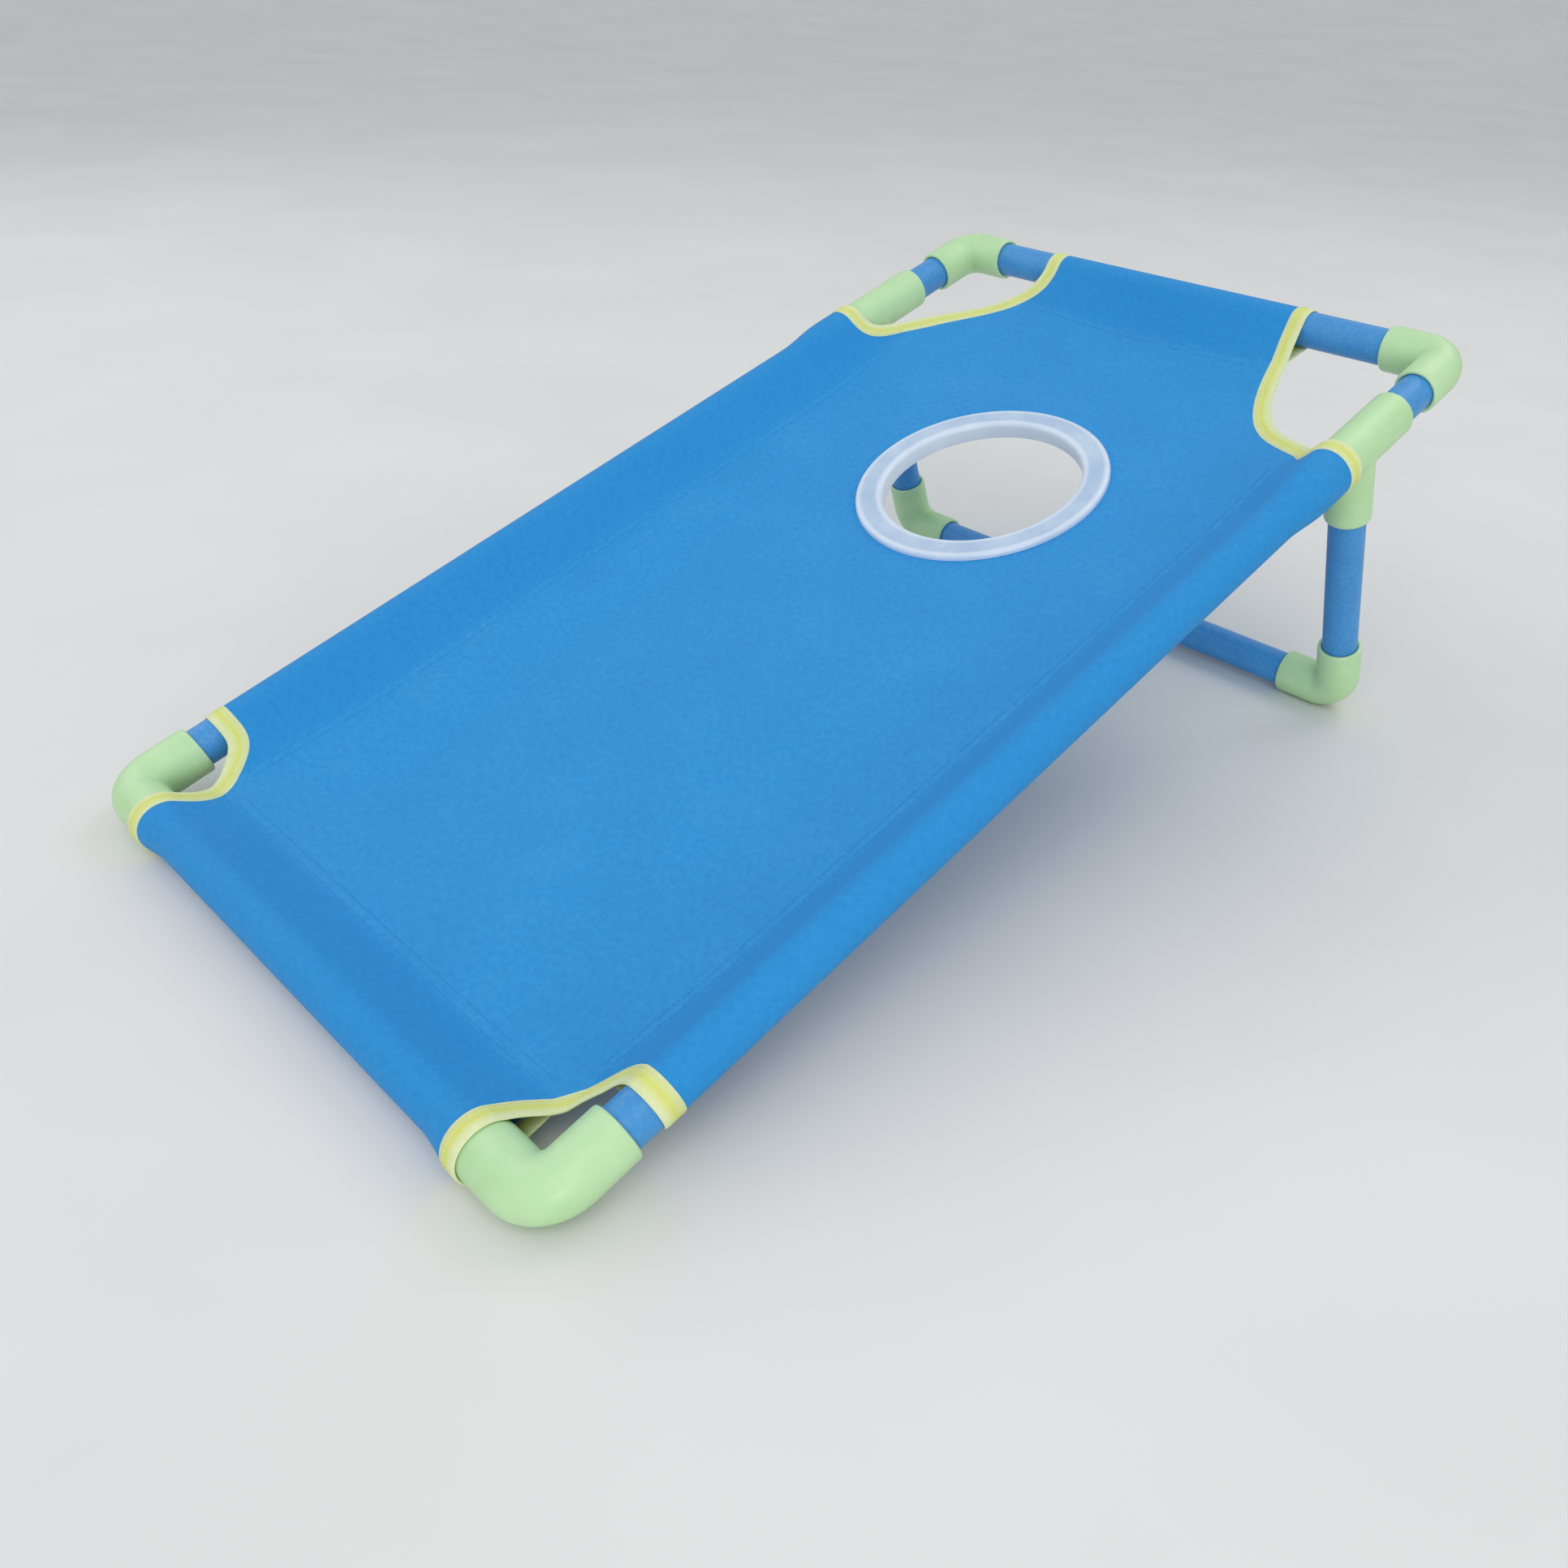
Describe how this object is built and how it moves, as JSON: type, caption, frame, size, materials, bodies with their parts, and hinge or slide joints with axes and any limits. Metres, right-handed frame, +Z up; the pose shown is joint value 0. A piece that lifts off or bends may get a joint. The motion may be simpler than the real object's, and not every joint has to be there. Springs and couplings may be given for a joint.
{
  "type": "folding bag toss board",
  "caption": "Sloping bag-toss target board: sewn fabric deck with a plastic-ringed hole, stretched on a push-fit tube frame with a plug-in rear leg.",
  "frame": {"origin": "centre of the whole part's footprint, on the floor it stands on", "axes": "+X to the thrower's right, +Y from the low front edge to the high rear edge, +Z up"},
  "size_m": [0.5072, 0.8244, 0.2827],
  "materials": {
    "tube_blue": "smooth extruded plastic pipe",
    "fitting_green": "moulded plastic, slight gloss",
    "cover_fabric": "plain-woven polyester",
    "binding_tape": "woven edging tape",
    "ring_plastic": "moulded plastic, satin"
  },
  "bodies": {
    "leg": {"leg_tube_left": "tube_blue", "leg_tube_right": "tube_blue", "leg_elbow_left": "fitting_green", "leg_elbow_right": "fitting_green", "leg_cross_tube": "tube_blue"},
    "board": {"front_rail": "tube_blue", "rear_rail": "tube_blue", "side_rail_left": "tube_blue", "side_rail_right": "tube_blue", "rear_stub_left": "tube_blue", "rear_stub_right": "tube_blue", "front_elbow_left": "fitting_green", "front_elbow_right": "fitting_green", "rear_elbow_left": "fitting_green", "rear_elbow_right": "fitting_green", "leg_tee_left": "fitting_green", "leg_tee_right": "fitting_green", "deck_panel": "cover_fabric", "sleeve_left": "cover_fabric", "sleeve_right": "cover_fabric", "sleeve_front": "cover_fabric", "sleeve_rear": "cover_fabric", "binding_front_left": "binding_tape", "binding_front_right": "binding_tape", "binding_rear_left": "binding_tape", "binding_rear_right": "binding_tape", "hole_ring": "ring_plastic", "hole_back_ring": "ring_plastic"}
  },
  "joints": [
    {"name": "leg_plug", "type": "slide", "parent": "leg", "child": "board", "axis": [0, -0.2992, 0.9542], "range_m": [0, 0.024]}
  ]
}
